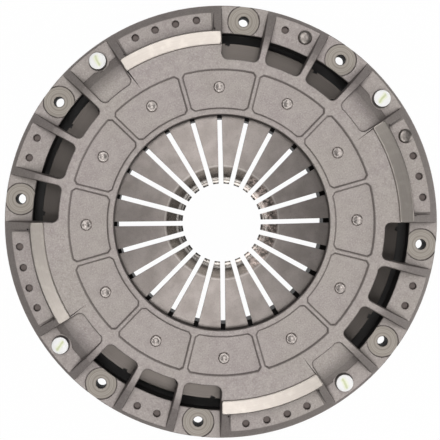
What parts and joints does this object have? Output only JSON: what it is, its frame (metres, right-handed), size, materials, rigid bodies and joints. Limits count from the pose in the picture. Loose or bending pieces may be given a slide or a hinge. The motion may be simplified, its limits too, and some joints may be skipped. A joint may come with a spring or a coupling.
{
  "type": "clutch pressure plate",
  "caption": "Round push-type clutch cover with a diaphragm spring, a ring-shaped pressure plate on leaf straps, and a drilled flange that bolts to a flywheel.",
  "frame": {"origin": "clutch axis at the flange face that meets the flywheel", "axes": "+Z along the clutch axis towards the gearbox; +X and +Y pass between the groups of bolt pads, so each group is centred on a diagonal"},
  "size_m": [0.483, 0.483, 0.065],
  "materials": {
    "cover": "shot-blasted grey iron, with polished bars and machined spot faces",
    "spring": "shot-peened spring steel, heat-tinted near the tips",
    "rivets": "bright formed steel",
    "plate": "machined grey iron",
    "straps": "rolled spring steel",
    "paint": "white marking paint with a yellow-green stripe on steel",
    "zinc": "zinc plate"
  },
  "bodies": {
    "cover": {"cover_casting": "cover", "diaphragm_spring": "spring", "fulcrum_ring": "spring", "fulcrum_rivets": "rivets", "balance_rivets": "rivets", "strap_1_leaf_1": "straps", "strap_1_leaf_2": "straps", "strap_1_leaf_3": "straps", "strap_2_leaf_1": "straps", "strap_2_leaf_2": "straps", "strap_2_leaf_3": "straps", "strap_3_leaf_1": "straps", "strap_3_leaf_2": "straps", "strap_3_leaf_3": "straps", "strap_4_leaf_1": "straps", "strap_4_leaf_2": "straps", "strap_4_leaf_3": "straps", "strap_screws": "paint", "strap_washers": "zinc", "strap_nuts": "zinc"},
    "pressure_plate": {"pressure_plate": "plate", "strap_rivets": "rivets"}
  },
  "joints": [
    {"name": "plate_lift", "type": "slide", "parent": "cover", "child": "pressure_plate", "axis": [0, 0, 1], "range_m": [0, 0.0054], "stiffness_N_per_m": 500000, "springref_m": -0.0012, "deforming": ["diaphragm_spring", "strap_1_leaf_1", "strap_1_leaf_2", "strap_1_leaf_3", "strap_2_leaf_1", "strap_2_leaf_2", "strap_2_leaf_3", "strap_3_leaf_1", "strap_3_leaf_2", "strap_3_leaf_3", "strap_4_leaf_1", "strap_4_leaf_2", "strap_4_leaf_3"]}
  ]
}
